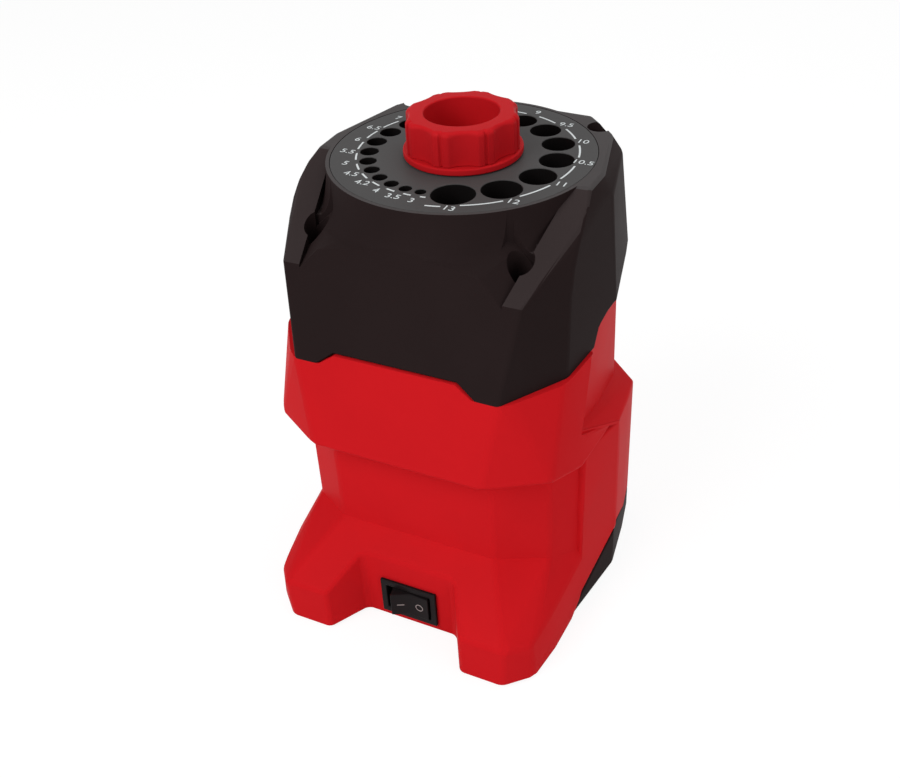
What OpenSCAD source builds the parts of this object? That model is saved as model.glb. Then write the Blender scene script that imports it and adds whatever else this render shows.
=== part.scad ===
// Bench drill bit sharpener. An upright induction motor turns a conical stone under a dial of
// guide holes, one for each drill size. The knob in the middle of the dial raises the stone as
// it wears. Heights are measured from the bench, and plan sizes from the spindle's axis.

/* [Dial] */
// Height of the dial's face above the bench
dial_z = 155.5; // [154:0.5:158]
// Diameter of the dial
dial_d = 84; // [83:0.5:85]
// Thickness of the dial's rim
dial_rim = 4; // [3:0.5:5]
// Diameter of the circle that the guide holes stand on
hole_circle = 60; // [59.5:0.25:60.5]
// Play of a drill bit in its guide hole, across the diameter
hole_play = 0.5; // [0.3:0.05:0.6]
// Turn of the smallest hole from the front, in degrees
hole_start = 0.3; // [-4:0.1:4]
// Width of the land between the guide block's edge and its largest hole
block_land = 1.8; // [1:0.1:2.2]
// Diameter of the knob's bearing in the dial
journal_d = 24; // [22:0.5:26]
// Depth of the knob's bearing in the dial
journal_len = 12.5; // [11:0.5:13]

/* [Knob] */
// Diameter of the knob's grip
grip_d = 35.4; // [33:0.2:36]
// Height of the knob above the dial
knob_h = 13.1; // [13:0.1:14.5]
// Diameter of the flange round the knob's foot
flange_d = 37.8; // [37.2:0.2:39]
// Thickness of that flange
flange_h = 2.1; // [1.5:0.1:3]
// Diameter of the knob's cup
cup_d = 23.6; // [20:0.2:25]
// Depth of the knob's cup
cup_depth = 12.5; // [8:0.5:12.5]
// Number of finger hollows round the grip
grip_count = 8; // [6:1:8]
// Depth of a finger hollow
hollow_depth = 1.3; // [0.8:0.1:1.5]
// Radius that the finger hollows are cut with
hollow_r = 10; // [8:0.5:12]
// Radius of the thin grooves between the finger hollows
groove_r = 0.6; // [0.4:0.1:0.8]

/* [Stone] */
// Outer diameter of the grinding stone
stone_d = 76; // [70:0.5:78]
// Height of the stone's rim below its cone
stone_rim = 9; // [7:0.5:11]
// Point angle of a drill bit, which the cone of the stone is cut to
point_angle = 118; // [110:1:125]
// Gap between the guide block and the new stone
stone_gap = 3.2; // [2.8:0.1:4]
// Lift of the stone over the whole travel of the knob
stone_lift = 2.25; // [1:0.05:2.4]
// Diameter of the lifting screw
screw_d = 8; // [7:0.5:9]
// Outer diameter of the stone's ball bearing
race_d = 24; // [22:1:26]
// Bore of the stone's ball bearing
race_bore = 12; // [11:0.5:14]
// Width of the stone's ball bearing
race_w = 6; // [5:0.5:7]

/* [Cover] */
// Height of the seam between the cover and the housing, at the front
seam_z = 104; // [102:0.5:106]
// Rise of the seam behind the front wall's tongue
tongue_h = 3.8; // [2:0.2:5]
// Half width of the cover at the spindle
cover_half = 51.8; // [50:0.2:52.5]
// Distance of the cover's front edge from the spindle, at the seam
cover_front = 56; // [55:0.5:57]
// Distance of the cover's back from the spindle
cover_back = 46; // [45:0.5:46.5]
// Height of the bevel round the cover's top
bevel_h = 6.5; // [5:0.25:7]
// Draft of the cover's sides, from the seam to that bevel
cover_draft = 2.2; // [1:0.2:2.6]
// Radius of the stone chamber
chamber_r = 40.6; // [39.5:0.1:40.8]
// Width of the thin lip round the dial
dial_lip = 1.2; // [1:0.1:1.6]
// Play round the dial in its seat
dial_play = 0.15; // [0.1:0.05:0.25]
// Distance of a front cover screw from the middle, sideways
front_screw_x = 34.2; // [33.5:0.1:34.6]
// Distance of a front cover screw from the spindle
front_screw_y = 35.4; // [34.8:0.1:35.8]
// Distance of a rear cover screw from the middle, sideways
rear_screw_x = 33.5; // [33:0.1:33.9]
// Distance of a rear cover screw from the spindle
rear_screw_y = 32.3; // [32:0.1:32.7]
// Diameter of a cover screw
cover_screw_d = 4; // [3.5:0.1:4.2]
// Diameter of a screw well
well_d = 8.2; // [8:0.1:8.6]

/* [Housing] */
// Half width of the housing at the spindle
body_half = 55.5; // [54:0.25:57]
// Distance of the front lip from the spindle
lip_front = 60.3; // [59:0.25:61.5]
// Height of the front lip's lower edge
lip_z = 73; // [70:0.5:76]
// Distance of the waist's front from the spindle
waist_front = 50.3; // [49.5:0.1:51]
// Height at which the waist turns into the feet
waist_z = 35; // [34:0.5:36]
// Distance of the feet's front from the spindle
foot_front = 72.6; // [71:0.2:74]
// Height of a foot's front face
foot_h = 17.5; // [15:0.5:19]
// Distance of the switch panel from the spindle
panel_front = 58.6; // [58:0.1:59.2]
// Half width of the gap between the feet, at the panel
gap_half = 17.6; // [16.5:0.1:19]
// Distance of the housing's back from the spindle
body_back = 47; // [46:0.25:48]
// Thickness of the housing's walls
wall = 3.5; // [3:0.1:4]
// Thickness of the base's floor
base_floor = 3; // [2.4:0.1:3.6]
// Height of the base's side wall at the spindle
base_peak = 18; // [15:0.5:20]
// Height of the base's wall at the back
base_back_h = 9; // [7:0.5:10]
// Height of the gap under the base, which the rubber feet make
pad_gap = 1.2; // [1:0.1:2]
// Diameter of a rubber foot
pad_d = 10; // [9:0.5:12]
// Thickness of a rubber foot
pad_h = 3; // [2.6:0.1:3.6]
// Diameter of the screws that join the two housing halves
housing_screw_d = 3.5; // [3:0.1:4]
// Distance of those screws from the middle, sideways
housing_screw_x = 44; // [43.8:0.1:44.4]
// Diameter of the screws that hold the base
base_screw_d = 3; // [2.6:0.1:3.4]
// Distance of those screws from the middle, sideways
base_screw_x = 47.5; // [47:0.1:47.8]

/* [Motor] */
// Outer diameter of the stator
stator_d = 78; // [74:0.5:80]
// Height of the stator's iron
stator_h = 34; // [30:0.5:36]
// Height of the stator's lower face
stator_z = 42; // [40:0.5:43]
// Diameter of the rotor
rotor_d = 40; // [36:0.5:44]
// Air gap between rotor and stator
air_gap = 0.5; // [0.4:0.05:0.8]
// Diameter of the shaft
shaft_d = 10; // [9:0.5:11]
// Outer diameter of a motor bearing
bearing_d = 26; // [24:0.5:28]
// Width of a motor bearing
bearing_w = 8; // [7:0.5:9]
// Diameter of the cooling fan
fan_d = 62; // [54:0.5:66]
// Height of the cooling fan's blades
fan_h = 7; // [5:0.5:8]
// Number of fan blades
fan_blades = 9; // [7:1:12]

/* [Switch and cord entry] */
// Width of the switch's frame
switch_w = 21.4; // [20:0.2:23]
// Height of the switch's frame
switch_h = 15.2; // [14:0.2:16]
// Diameter of the pivot that the rocker turns on
pivot_d = 2.4; // [2:0.1:3]
// Height of the switch's middle above the bench
switch_z = 11.4; // [10.6:0.1:12]
// Thickness of the switch's frame in front of the panel
frame_t = 1.2; // [1:0.1:1.6]
// Tilt of the rocker to each side, in degrees
rocker_tilt = 11; // [9:0.5:12]
// Bore of the cord entry
entry_d = 7.2; // [6:0.2:8]
// Distance of the cord entry from the middle, sideways
entry_x = 20; // [18:0.5:22]
// Height of the cord entry above the bench
entry_z = 26; // [24:0.5:28]

/* [Hidden] */
$fn = 64;

// Names for colours that several pieces share
RED = "#c8232a";
BLACK = "#2a2423";
DIAL_GREY = "#454444";
STEEL = "silver";

// Clearances: a running fit, and the play between pieces that only lie beside each other
fit = 0.05;
slip = 0.3;

// The origin lies under the middle of the outline, so the spindle stands a little behind it
gland_rim = 2;
spindle_y = (foot_front - body_back - gland_rim) / 2;

// Drill sizes, smallest first, in the order in which they go round the dial
SIZES = [3, 3.5, 4, 4.2, 4.5, 5, 5.5, 6, 6.5, 7, 7.5, 8, 8.5, 9, 9.5, 10, 10.5, 11, 12, 13];
hole_count = len(SIZES);
hole_r = hole_circle / 2;
function hole_d(i) = SIZES[i] + hole_play;
function sum_to(i) = i < 0 ? 0 : hole_d(i) + sum_to(i - 1);
// Width of the wall between neighbouring holes, the same all the way round
hole_wall = (PI * hole_circle - sum_to(hole_count - 1)) / hole_count;
function hole_angle(i) = i == 0 ? hole_start
    : hole_angle(i - 1) - ((hole_d(i - 1) + hole_d(i)) / 2 + hole_wall) / hole_r * 180 / PI;
function hole_at(i) = [hole_r * sin(hole_angle(i)), -hole_r * cos(hole_angle(i))];

// Heights along the spindle, from the dial down
dial_under = dial_z - dial_rim;
journal_z = dial_z - journal_len;
clip_h = 1.2;
clip_z = journal_z - clip_h - fit;
knob_end = clip_z - 0.8;
block_in = hole_r - hole_d(hole_count - 1) / 2 - block_land;
block_out = hole_r + hole_d(hole_count - 1) / 2 + block_land;
cone_rise = 1 / tan(point_angle / 2);
block_depth = 24;
block_z = dial_z - block_depth;
// Height of the guide block's underside and of the stone's cone at a radius
function block_at(r) = block_z - (r - hole_r) * cone_rise;
function stone_at(r) = block_at(r) - stone_gap;

stone_r = stone_d / 2;
stone_z = stone_at(stone_r) - stone_rim;
hub_wall = 3;
hub_r = race_d / 2 + hub_wall;
ring_h = 2.5;
ring_r = hub_r + 5;
race_z = stone_z + 3;
nut_r = race_bore / 2;
nut_flange_r = 18;
nut_flange_h = 4;
nut_z = race_z + race_w;
nut_gap = 0.8;
nut_top = knob_end - stone_lift - nut_gap;
screw_z = race_z - 1;
screw_top = knob_end + journal_len - 1;
pin_x = 16;
pin_d = 3;
pin_hold = 3;
pin_play = 0.1;
pin_top = journal_z + pin_hold;
hub_socket = 12;
hub_z = race_z - hub_socket;
sleeve_r = shaft_d / 2 + 4;
drive_flat = shaft_d * 0.82;
shaft_top = race_z - 3;

// Heights of the motor
stator_top = stator_z + stator_h;
coil_h = 7;
bracket_h = 4;
upper_bracket_z = stator_top + coil_h + 2;
lower_bracket_z = stator_z - coil_h - 2 - bracket_h;
fan_z = lower_bracket_z - bearing_w - fan_h + 3;
shaft_z = fan_z - 2;
bolt_r = stator_d / 2 - 3.6;
bolt_d = 3.8;
shield_z = seam_z - 3;
shield_h = 2;

// Height of the base's floor inside
floor_z = pad_gap + base_floor;
// Height of the ledge that the heads of the cover screws sit on
well_z = seam_z + 20;

// Plan of the housing's lower part, on the right side, from the pillar to the back
pillar_y = -27;
body_plan = [[50.8, -36], [body_half, -3], [body_half - 2.8, 16.5], [49.8, 31], [34, body_back]];
// Plan of the rear cover's upper part
rear_top_plan = [[49.6, -30], [47.5, 0], [43, 29], [29.5, 43]];
// Plan of the waist
waist_plan = [[29, -waist_front], [45, 10.8 - waist_front], [50, pillar_y], [50, 0]];

// Points where the seam between the front housing and the rear cover turns, seen from the side
seam_side = [[0, -20], [0, 60], [-2, 67], [-31.5, 81], [-17, 106], [-13, 140]];
// Points of the seam under the cover, seen from the side
cover_seam = [[-100, seam_z], [-15, seam_z], [-11.5, seam_z + 6.5], [0, seam_z + 8.5], [100, seam_z + 18]];
// Points of the base's upper edge, seen from the side
base_edge = [[-38, 0], [0, base_peak], [17, base_back_h + 2.5], [34, base_back_h], [100, base_back_h]];

// A list of points on the right side, with the same on the left
function both(points) = concat(points, [for (p = points) [-p[0], p[1], p[2]]]);
// The points on one side only, 1 for the right and -1 for the left
function one(points, side) = [for (p = points) [side * p[0], p[1], p[2]]];
// A plan on the right side, closed round the left side
function closed(plan) = concat(plan, [for (i = [len(plan) - 1:-1:0]) [-plan[i][0], plan[i][1]]]);
// The plan at one height
function level(plan, z) = [for (p = plan) [p[0], p[1], z]];

// The smallest solid without hollows round the points
module wrap(points) {
    hull()
        polyhedron(points, [[for (i = [0:len(points) - 1]) i]]);
}

// A prism across the whole width from an outline given as [y, z]
module across(outline) {
    translate([-80, 0, 0])
        rotate([90, 0, 90])
            linear_extrude(160)
                polygon(outline);
}

// What lies above and below the seam under the cover
module above_seam() {
    difference() {
        across(concat(cover_seam, [[100, 300], [-100, 300]]));
        tongue(slip);
    }
}

module below_seam() {
    across(concat([[100, -100], [-100, -100]], cover_seam));
    tongue(0);
}

// The raised tongue of the front wall, which fills the notch in the cover's front edge
module tongue(play) {
    foot = 26.4 + play;
    top = 20.8 + play;
    translate([0, -cover_front / 2, 0])
        rotate([90, 0, 0])
            linear_extrude(cover_front)
                polygon([
                    [-foot, seam_z - 1],
                    [-foot, seam_z],
                    [-top, seam_z + tongue_h + play],
                    [top, seam_z + tongue_h + play],
                    [foot, seam_z],
                    [foot, seam_z - 1]
                ]);
}

module at_cover_screws() {
    for (x = [-front_screw_x, front_screw_x])
        translate([x, -front_screw_y, 0]) children();
    for (x = [-rear_screw_x, rear_screw_x])
        translate([x, rear_screw_y, 0]) children();
}

module at_housing_screws() {
    for (x = [-housing_screw_x, housing_screw_x], z = [26, 51])
        translate([x, 0, z]) rotate([-90, 0, 0]) children();
}

module at_base_screws() {
    for (x = [-base_screw_x, base_screw_x], y = [-12, 24])
        translate([x, y, 0]) children();
}

module at_pads() {
    for (x = [-40, 40])
        translate([x, 12.6 - foot_front, 0]) children();
    for (x = [-38, 38])
        translate([x, body_back - 16, 0]) children();
}

// ---- Cover ----

cover_plan = [[35, -cover_front], [48.6, -34.5], [cover_half, 0], [45.5, 34], [33, cover_back]];
bevel_z = dial_z - bevel_h;
// Front end of the sloping band beside the skirt, and its upper end
band_y = 7.7 - cover_front;
band_z = 134;
band_top_y = -11;
// Slope of the front face
front_slope = (band_y + cover_front) / (band_z - seam_z);
bell_r = dial_d / 2 + dial_play + dial_lip;

// The cover's outside without its bell: bevelled round the top and cut down towards the front
module cover_block() {
    side_x = cover_half - cover_draft;
    wrap(both(concat(
        level(cover_plan, seam_z),
        [[cover_half, 0, seam_z + 9], [side_x, 0, bevel_z]],
        [[42, 31, bevel_z], [31, cover_back - 2.4, bevel_z]],
        // Rounded shoulder between the side and the band
        [[48.5, -32.5, 131], [48.3, -29.5, 139], [48.2, -26, 144.5], [48, -22, 148.8], [47.3, -17, 152.5]],
        [[39.6, band_y, band_z], [46, band_top_y, dial_z], [side_x - 3.4, 0, dial_z]],
        [[39.2, 28, dial_z], [27.5, cover_back - 5.6, dial_z]]
    )));
}

// Room over the skirt, between the bands that run down beside it
module band_cut() {
    wrap(both([
        [33.1, band_y, 126],
        [33.1, band_y, dial_z + 20],
        [31.5, band_y - 12, 126],
        [31.5, band_y - 12, dial_z + 20],
        [40.7, band_top_y, 126],
        [40.7, band_top_y, dial_z + 20]
    ]));
}

// The bell under the dial, which flares out over the front face
module bell() {
    cylinder(r = bell_r, h = dial_z);
    intersection() {
        flare_r = 4.6;
        flare_h = 13.5;
        skirt_z = dial_z - flare_h;
        rotate_extrude()
            polygon(concat(
                [[30, 120], [30, dial_z], [bell_r, dial_z]],
                [for (a = [15:15:90]) [bell_r + flare_r * (1 - cos(a)), dial_z - flare_h * sin(a)]],
                [[bell_r + flare_r + 16, skirt_z - 5.6], [bell_r + flare_r + 16, 120]]
            ));
        skirt_limits();
    }
}

// The planes that trim the skirt at the front face, at the sides and beside the screw wells
module skirt_limits() {
    top = dial_z;
    front_top = front_slope * (top - seam_z) - cover_front;
    difference() {
        wrap(both([
            [35, -cover_front, seam_z],
            [34, front_top, top],
            [46, -34.5, seam_z],
            [46, -26, top],
            [46, 20, seam_z],
            [44, 20, top],
            [28, 40, seam_z],
            [28, 38, top]
        ]));
        for (side = [-1, 1]) {
            facet = [[29, -31, 146], [23.6, -59, 137], [45, -60, 118.5], [45, -31, 131]];
            wrap(one(concat(facet, [for (p = facet) p + [0, 0, 40]]), side));
        }
    }
}

module top_cover() {
    color(BLACK)
        difference() {
            intersection() {
                union() {
                    difference() {
                        cover_block();
                        band_cut();
                    }
                    bell();
                }
                above_seam();
            }
            // Stone chamber
            translate([0, 0, seam_z - 20])
                cylinder(r = chamber_r, h = dial_under - 3 - seam_z + 20);
            // Opening that the guide block hangs through
            cylinder(r = block_out + slip, h = dial_z + 10);
            // Seat of the dial
            translate([0, 0, dial_under])
                cylinder(d = dial_d + 2 * dial_play, h = dial_rim + 10);
            at_cover_screws() {
                translate([0, 0, well_z]) cylinder(d = well_d, h = 60);
                cylinder(d = cover_screw_d + slip, h = 200);
            }
        }
}

// ---- Dial and its block ----

module guide_dial() {
    color(DIAL_GREY)
        difference() {
            union() {
                translate([0, 0, dial_under]) cylinder(d = dial_d, h = dial_rim);
                // Block that guides the drill bits, cut to the cone of the stone
                rotate_extrude()
                    polygon([
                        [block_in, dial_under + 1],
                        [block_in, block_at(block_in)],
                        [block_out, block_at(block_out)],
                        [block_out, dial_under + 1]
                    ]);
                // Hub that the knob turns in
                translate([0, 0, journal_z])
                    cylinder(r = pin_x + pin_d, h = dial_z - journal_z - 1);
            }
            translate([0, 0, journal_z - 1]) cylinder(d = journal_d + 2 * fit, h = 40);
            // Guide holes
            for (i = [0:hole_count - 1])
                translate([hole_at(i)[0], hole_at(i)[1], 0])
                    cylinder(d = hole_d(i), h = dial_z + 10);
            // Bores that the lift pins slide in
            for (x = [-pin_x, pin_x])
                translate([x, 0, journal_z - 1])
                    cylinder(d = pin_d + 2 * pin_play, h = pin_hold + stone_lift + 2);
        }
}

// ---- Knob ----

module wear_knob() {
    grip_r = grip_d / 2;
    foot_z = dial_z + slip;
    first_hollow = -63.6;
    color(RED)
        difference() {
            union() {
                translate([0, 0, foot_z])
                    rotate_extrude()
                        polygon([
                            [0, 0], [flange_d / 2, 0], [flange_d / 2, flange_h - 0.5],
                            [flange_d / 2 - 0.5, flange_h], [grip_r - 0.3, flange_h],
                            [grip_r, flange_h + 0.5], [grip_r, knob_h - 2.6], [grip_r - 0.7, knob_h - 1],
                            [grip_r - 2.4, knob_h], [0, knob_h]
                        ]);
                translate([0, 0, knob_end]) cylinder(d = journal_d, h = foot_z - knob_end + 1);
            }
            // Cup
            translate([0, 0, foot_z + knob_h - cup_depth]) cylinder(d = cup_d, h = cup_depth + 1);
            // Finger hollows, and the thin grooves halfway between them
            for (i = [0:grip_count - 1])
                rotate(first_hollow + 360 / grip_count * i)
                    translate([0, 0, foot_z + flange_h + 0.6]) {
                        translate([grip_r + hollow_r - hollow_depth, 0, 0])
                            cylinder(r = hollow_r, h = knob_h);
                        rotate(180 / grip_count)
                            translate([grip_r, 0, 0]) cylinder(r = groove_r, h = knob_h, $fn = 24);
                    }
            // Groove of the clip
            translate([0, 0, clip_z])
                difference() {
                    cylinder(d = journal_d + 2, h = clip_h);
                    cylinder(d = journal_d - 3, h = clip_h);
                }
            // Hole for the lifting screw
            translate([0, 0, knob_end - 1]) cylinder(d = screw_d, h = screw_top - knob_end + 1);
        }
}

module knob_clip() {
    color(STEEL)
        translate([0, 0, clip_z + fit])
            difference() {
                cylinder(d = journal_d + 4, h = clip_h - 2 * fit);
                translate([0, 0, -1]) cylinder(d = journal_d - 3 + 2 * fit, h = 4);
                translate([-3, -journal_d, -1]) cube([6, journal_d, 4]);
            }
}

module lift_screw() {
    color(STEEL)
        translate([0, 0, screw_z])
            cylinder(d = screw_d, h = screw_top - screw_z);
}

// ---- Stone and what lifts it ----

module lift_nut() {
    color("#b08d4a")
        difference() {
            union() {
                translate([0, 0, race_z]) cylinder(r = nut_r, h = nut_top - race_z);
                translate([0, 0, nut_z]) cylinder(r = nut_r + 1.5, h = 1);
                translate([0, 0, nut_z + 1]) cylinder(r = nut_flange_r, h = nut_flange_h);
            }
            translate([0, 0, race_z - 1]) cylinder(d = screw_d + 2 * fit, h = 60);
            at_lift_pins() translate([0, 0, nut_z]) cylinder(d = pin_d, h = 10);
        }
}

module at_lift_pins() {
    for (x = [-pin_x, pin_x])
        translate([x, 0, 0]) children();
}

module lift_pins() {
    color(STEEL)
        at_lift_pins()
            translate([0, 0, nut_z + 1]) cylinder(d = pin_d, h = pin_top - nut_z - 1);
}

module stone_bearing() {
    color(STEEL)
        translate([0, 0, race_z])
            difference() {
                cylinder(d = race_d, h = race_w);
                translate([0, 0, -1]) cylinder(d = race_bore, h = race_w + 2);
            }
}

module stone_hub() {
    color(STEEL)
        difference() {
            union() {
                translate([0, 0, race_z - 3]) cylinder(r = hub_r, h = race_w + 3);
                translate([0, 0, hub_z]) cylinder(r = sleeve_r, h = race_z - hub_z);
                translate([0, 0, stone_z - 2]) cylinder(r = ring_r, h = 2);
            }
            translate([0, 0, race_z - slip]) cylinder(d = race_d + 2 * fit, h = 20);
            drive_bore();
        }
}

// Bore with two flats, which slides on the end of the shaft
module drive_bore() {
    play = 2 * fit;
    translate([0, 0, hub_z - 1])
        intersection() {
            cylinder(d = shaft_d + 2 * fit, h = race_z - hub_z + 2);
            translate([-20, -drive_flat / 2 - play, 0])
                cube([40, drive_flat + 2 * play, 40]);
        }
}

module grinding_stone() {
    color("#8d5a4a")
        rotate_extrude()
            polygon([
                [hub_r, stone_z],
                [stone_r, stone_z],
                [stone_r, stone_at(stone_r)],
                [ring_r + 1, stone_at(ring_r + 1)],
                [ring_r + 1, race_z + race_w - ring_h],
                [hub_r, race_z + race_w - ring_h]
            ]);
}

module stone_ring() {
    color(STEEL)
        translate([0, 0, race_z + race_w - ring_h])
            difference() {
                cylinder(r = ring_r, h = ring_h);
                translate([0, 0, -1]) cylinder(r = hub_r, h = ring_h + 2);
            }
}

module grit_shield() {
    color("#3a3a3a")
        translate([0, 0, shield_z])
            difference() {
                cylinder(r = chamber_r - 0.4, h = shield_h);
                translate([0, 0, -1]) cylinder(d = shaft_d + 2, h = shield_h + 2);
            }
}

// ---- Housing ----

module upper_wall() {
    wrap(both(concat(
        level([[35, -cover_front], [48.6, -34.5], [cover_half - 0.6, -6]], seam_z),
        level([[35, 2 - cover_front], [48.6, -34.5], [cover_half - 0.6, -6]], seam_z + 12),
        [[30, -lip_front, lip_z], [body_half - 6, 11.7 - lip_front, lip_z + 0.3]],
        [[body_half - 2, -33, lip_z - 4], [body_half - 0.7, -6, lip_z - 4]]
    )));
}

// Half width of the housing at the front of its pillars
pillar_half = body_half - 3.5;

// The legs beside the waist
module pillars() {
    wrap(both(concat(
        level([[pillar_half, pillar_y], [body_half, -3], [body_half - 0.3, 2]], 0),
        [[pillar_half, pillar_y, 71], [body_half, -3, 68], [body_half - 0.3, 2, 67]]
    )));
}

module feet() {
    foot_plan = [
        [41, -foot_front], [pillar_half - 2.6, 8.2 - foot_front], [pillar_half - 0.7, -50], [pillar_half, pillar_y]
    ];
    wrap(both(concat(
        level(foot_plan, pad_gap),
        [[42, -foot_front, foot_h], [pillar_half - 3.4, 8.1 - foot_front, foot_h - 2]],
        [[pillar_half - 1.5, -50, foot_h + 1.5]],
        [[pillar_half, pillar_y, foot_h + 6.5], [pillar_half - 2, pillar_y, waist_z - 10]],
        [[29, -waist_front, waist_z], [45, 10.8 - waist_front, waist_z - 3]],
        level([[46, -20]], pad_gap),
        level([[46, -20]], waist_z)
    )));
}

// The gap between the feet, in front of the switch panel
module foot_gap() {
    corner_r = 4;
    mouth_half = 26;
    lean = atan2(mouth_half - gap_half, foot_front + 1 - panel_front);
    // The corner's arc cuts 0.05 mm into both faces, so that it ends at a clear edge
    corner_in = corner_r - 0.05;
    corner_run = corner_in * tan((90 - lean) / 2);
    translate([0, 0, -1])
        linear_extrude(waist_z)
            difference() {
                polygon([
                    [-gap_half, -panel_front], [gap_half, -panel_front],
                    [mouth_half, -foot_front - 1], [mouth_half, -foot_front - 9],
                    [-mouth_half, -foot_front - 9], [-mouth_half, -foot_front - 1]
                ]);
                // Corners tangent to the panel and to the side
                for (side = [-1, 1])
                    scale([side, 1])
                        translate([gap_half - corner_run, -panel_front - corner_in])
                            difference() {
                                polygon([
                                    [0, 0], [0, corner_r + 1], [corner_r + 1, corner_r + 1],
                                    (corner_r + 1) * [cos(lean), sin(lean)]
                                ]);
                                circle(corner_r);
                            }
            }
}

// A prism inside the housing, from one height to another
module room(z, top, plan) {
    translate([0, 0, z])
        linear_extrude(top - z)
            polygon(closed(plan));
}

// Room inside the two housing halves
module cavity() {
    shoulder_z = 56;
    difference() {
        union() {
            room(floor_z, shoulder_z, [
                [29.5, wall + 1.3 - waist_front], [44, -32.5], [44, 28], [34 - wall, body_back - wall]
            ]);
            room(floor_z, foot_h + 4, [[23, wall - panel_front], [23, -40]]);
            room(shoulder_z - 1, stator_top - 1, [
                [27, wall + 1.3 - waist_front], [41, -30], [42.5, -8], [42.5, 2], [39, 22], [25, 43 - wall]
            ]);
            room(stator_top - 2, seam_z - 8, [
                [14, wall + 1 - cover_front], [44, -16], [41, 14], [22, 39.7]
            ]);
            cylinder(r = chamber_r - 2.6, h = 200);
            translate([0, 0, shield_z]) cylinder(r = chamber_r - 0.1, h = 60);
        }
        motor_seats();
        // Posts round the housing screws
        at_housing_screws()
            cylinder(d = housing_screw_d + 5.5, h = 120, center = true);
    }
}

// Ribs in the corners that hold the stator, with a shelf under it
module motor_seats() {
    rib_w = 14;
    shelf_z = stator_z - 6;
    for (a = [45:90:315])
        difference() {
            rotate(a)
                translate([bolt_r, -rib_w / 2, shelf_z]) cube([30, rib_w, stator_top - 8 - shelf_z]);
            translate([0, 0, stator_z]) cylinder(r = stator_d / 2 + fit, h = 60);
            cylinder(r = bolt_r + bolt_d / 2 + slip, h = 60);
        }
}

module front_housing() {
    color(RED)
        difference() {
            intersection() {
                union() {
                    upper_wall();
                    room(waist_z - 12, lip_z + 2, waist_plan);
                    pillars();
                    feet();
                }
                across(concat([[-100, -20]], seam_side, [[-100, 140]]));
                below_seam();
                above_base();
            }
            foot_gap();
            cavity();
            switch_room();
            screw_pilots();
        }
}

// What lies above the base's upper edge
module above_base() {
    across(concat([[-100, pad_gap], [-38, pad_gap]], base_edge, [[100, 150], [-100, 150]]));
}

module screw_pilots() {
    at_cover_screws() translate([0, 0, seam_z - 14]) cylinder(d = cover_screw_d, h = 40);
    at_housing_screws() translate([0, 0, -24]) cylinder(d = housing_screw_d, h = 60);
    at_base_screws() cylinder(d = base_screw_d, h = 24);
    at_pads() cylinder(d = pad_d, h = pad_h);
}

module rear_cover() {
    color(RED)
        difference() {
            intersection() {
                union() {
                    // Lower part, as wide as the feet's pillars, with a sloping shoulder
                    wrap(both(concat(
                        level(body_plan, 0),
                        [[51.5, -30, 81], [body_half, -3, 67.5], [body_half - 2.8, 16.5, 63.4]],
                        [[49.8, 31, 60.4], [34, body_back, 60]],
                        [[45, -28, 83], [49, 0, 70.5], [44, 28, 63.5], [30, body_back - 5, 63]]
                    )));
                    // Upper part, set in behind the shoulder
                    wrap(both(concat(
                        level(rear_top_plan, 60),
                        level([[49.8, -30], [46.8, 0], [42.6, 28.6], [29, 42.5]], 125)
                    )));
                }
                across(concat([[140, -20]], seam_side, [[140, 140]]));
                below_seam();
                above_base();
            }
            cavity();
            vents();
            screw_pilots();
            // Wells for the housing screws' heads
            at_housing_screws() translate([0, 0, 20]) cylinder(d = well_d, h = 40);
            cord_hole();
        }
}

// Cooling slots in the back
module vents() {
    for (i = [0:3])
        translate([-18, 20, 70 + i * 6])
            cube([36, 40, 3]);
}

module cord_hole() {
    translate([entry_x, body_back + 1, entry_z])
        rotate([90, 0, 0]) cylinder(d = entry_d + 6, h = 12);
}

module base_cover() {
    color(BLACK)
        difference() {
            intersection() {
                wrap(both(concat(level(body_plan, pad_gap), level(body_plan, 30))));
                difference() {
                    across([[-38, pad_gap], [100, pad_gap], [100, 30], [-38, 30]]);
                    above_base();
                }
            }
            room(floor_z, 40, [[44, -60], [44, 28], [34 - wall, body_back - wall]]);
            // Air inlets under the fan
            for (i = [-3:3])
                translate([i * 8 - 1.6, -18, -1]) cube([3.2, 36, 10]);
            at_base_screws() {
                cylinder(d = base_screw_d + slip, h = 30);
                cylinder(d = 5.6, h = screw_seat);
            }
            at_pads() cylinder(d = pad_d, h = pad_h);
        }
}

module rubber_feet() {
    color("#202020")
        at_pads() cylinder(d = pad_d, h = pad_h);
}

// ---- Fasteners ----

head_h = 2.4;
screw_seat = pad_gap + head_h + 0.4;

// A pan head screw that hangs down from the underside of its head
module pan_screw(d, head_d, length) {
    translate([0, 0, -length]) cylinder(d = d, h = length);
    difference() {
        cylinder(d = head_d, h = head_h);
        for (a = [0, 90])
            rotate(a) translate([-0.5, -head_d / 3, 1]) cube([1, head_d * 2 / 3, 3]);
    }
}

module cover_screws() {
    color(STEEL)
        at_cover_screws() translate([0, 0, well_z]) pan_screw(cover_screw_d, 7.4, 34);
}

module housing_screws() {
    color(STEEL)
        at_housing_screws() translate([0, 0, 20]) pan_screw(housing_screw_d, 7, 42);
}

module base_screws() {
    color(STEEL)
        at_base_screws() translate([0, 0, screw_seat]) mirror([0, 0, 1]) pan_screw(base_screw_d, 5, 18);
}

// ---- Motor ----

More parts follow.
